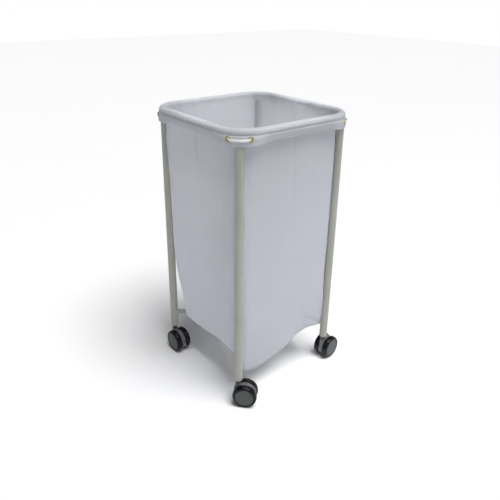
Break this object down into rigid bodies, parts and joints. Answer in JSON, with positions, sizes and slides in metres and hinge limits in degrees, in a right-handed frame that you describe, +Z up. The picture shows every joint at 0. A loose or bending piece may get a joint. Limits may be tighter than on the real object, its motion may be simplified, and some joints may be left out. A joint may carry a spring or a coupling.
{
  "type": "laundry cart",
  "caption": "Wheeled laundry cart: a square tube frame on twin-wheel swivel casters holds an open fabric bag folded over its top ring.",
  "frame": {"origin": "on the floor, under the middle of the cart's four legs", "axes": "+Z up, +X to the right and -Y to the front; the sides of the square frame are along X and Y"},
  "size_m": [0.4651, 0.4778, 0.8591],
  "materials": {
    "frame_paint": "satin warm grey powder coat",
    "socket_plastic": "moulded plastic in the frame's colour",
    "caster_steel": "zinc plated",
    "caster_plastic": "satin moulded grey nylon",
    "wheel_plastic": "moulded black nylon",
    "tyre": "smooth black rubber",
    "cap_plastic": "satin moulded grey",
    "bag_cloth": "plain woven white polyester cotton",
    "elastic": "flat braided white elastic",
    "brass": "polished brass"
  },
  "bodies": {
    "frame": {"top_ring": "frame_paint", "leg_front_left": "frame_paint", "leg_front_right": "frame_paint", "leg_rear_left": "frame_paint", "leg_rear_right": "frame_paint", "brace_long": "frame_paint", "brace_half_front": "frame_paint", "brace_half_rear": "frame_paint", "leg_socket_front_left": "socket_plastic", "leg_socket_front_right": "socket_plastic", "leg_socket_rear_left": "socket_plastic", "leg_socket_rear_right": "socket_plastic", "caster_stem_front_left": "caster_steel", "caster_stem_front_right": "caster_steel", "caster_stem_rear_left": "caster_steel", "caster_stem_rear_right": "caster_steel"},
    "caster_front_left": {"caster_body_front_left": "caster_plastic", "caster_axle_front_left": "caster_steel"},
    "wheel_front_left_1": {"wheel_core_front_left_1": "wheel_plastic", "tyre_front_left_1": "tyre", "hub_cap_front_left_1": "cap_plastic"},
    "wheel_front_left_2": {"wheel_core_front_left_2": "wheel_plastic", "tyre_front_left_2": "tyre", "hub_cap_front_left_2": "cap_plastic"},
    "caster_front_right": {"caster_body_front_right": "caster_plastic", "caster_axle_front_right": "caster_steel"},
    "wheel_front_right_1": {"wheel_core_front_right_1": "wheel_plastic", "tyre_front_right_1": "tyre", "hub_cap_front_right_1": "cap_plastic"},
    "wheel_front_right_2": {"wheel_core_front_right_2": "wheel_plastic", "tyre_front_right_2": "tyre", "hub_cap_front_right_2": "cap_plastic"},
    "caster_rear_left": {"caster_body_rear_left": "caster_plastic", "caster_axle_rear_left": "caster_steel"},
    "wheel_rear_left_1": {"wheel_core_rear_left_1": "wheel_plastic", "tyre_rear_left_1": "tyre", "hub_cap_rear_left_1": "cap_plastic"},
    "wheel_rear_left_2": {"wheel_core_rear_left_2": "wheel_plastic", "tyre_rear_left_2": "tyre", "hub_cap_rear_left_2": "cap_plastic"},
    "caster_rear_right": {"caster_body_rear_right": "caster_plastic", "caster_axle_rear_right": "caster_steel"},
    "wheel_rear_right_1": {"wheel_core_rear_right_1": "wheel_plastic", "tyre_rear_right_1": "tyre", "hub_cap_rear_right_1": "cap_plastic"},
    "wheel_rear_right_2": {"wheel_core_rear_right_2": "wheel_plastic", "tyre_rear_right_2": "tyre", "hub_cap_rear_right_2": "cap_plastic"},
    "bag": {"bag_panel_front": "bag_cloth", "bag_panel_right": "bag_cloth", "bag_panel_rear": "bag_cloth", "bag_panel_left": "bag_cloth", "bag_bottom": "bag_cloth", "bag_hem": "bag_cloth", "elastic_loop": "elastic", "eyelets": "brass"}
  },
  "joints": [
    {"name": "swivel_front_left", "type": "hinge", "parent": "frame", "child": "caster_front_left", "pos_m": [-0.183, -0.183, 0.085], "axis": [0, 0, 1], "continuous": true},
    {"name": "wheel_spin_front_left_1", "type": "hinge", "parent": "caster_front_left", "child": "wheel_front_left_1", "pos_m": [-0.168, -0.19909, 0.0375], "axis": [0.7314, 0.682, 0], "continuous": true},
    {"name": "wheel_spin_front_left_2", "type": "hinge", "parent": "caster_front_left", "child": "wheel_front_left_2", "pos_m": [-0.168, -0.19909, 0.0375], "axis": [0.7314, 0.682, 0], "continuous": true},
    {"name": "swivel_front_right", "type": "hinge", "parent": "frame", "child": "caster_front_right", "pos_m": [0.183, -0.183, 0.085], "axis": [0, 0, 1], "continuous": true},
    {"name": "wheel_spin_front_right_1", "type": "hinge", "parent": "caster_front_right", "child": "wheel_front_right_1", "pos_m": [0.20479, -0.17994, 0.0375], "axis": [-0.1392, 0.9903, 0], "continuous": true},
    {"name": "wheel_spin_front_right_2", "type": "hinge", "parent": "caster_front_right", "child": "wheel_front_right_2", "pos_m": [0.20479, -0.17994, 0.0375], "axis": [-0.1392, 0.9903, 0], "continuous": true},
    {"name": "swivel_rear_left", "type": "hinge", "parent": "frame", "child": "caster_rear_left", "pos_m": [-0.183, 0.183, 0.085], "axis": [0, 0, 1], "continuous": true},
    {"name": "wheel_spin_rear_left_1", "type": "hinge", "parent": "caster_rear_left", "child": "wheel_rear_left_1", "pos_m": [-0.18223, 0.16101, 0.0375], "axis": [0.9994, 0.0349, 0], "continuous": true},
    {"name": "wheel_spin_rear_left_2", "type": "hinge", "parent": "caster_rear_left", "child": "wheel_rear_left_2", "pos_m": [-0.18223, 0.16101, 0.0375], "axis": [0.9994, 0.0349, 0], "continuous": true},
    {"name": "swivel_rear_right", "type": "hinge", "parent": "frame", "child": "caster_rear_right", "pos_m": [0.183, 0.183, 0.085], "axis": [0, 0, 1], "continuous": true},
    {"name": "wheel_spin_rear_right_1", "type": "hinge", "parent": "caster_rear_right", "child": "wheel_rear_right_1", "pos_m": [0.20102, 0.19562, 0.0375], "axis": [-0.5736, 0.8192, 0], "continuous": true},
    {"name": "wheel_spin_rear_right_2", "type": "hinge", "parent": "caster_rear_right", "child": "wheel_rear_right_2", "pos_m": [0.20102, 0.19562, 0.0375], "axis": [-0.5736, 0.8192, 0], "continuous": true},
    {"name": "bag_lift", "type": "slide", "parent": "frame", "child": "bag", "axis": [0, 0, 1], "range_m": [0, 0.8]}
  ]
}
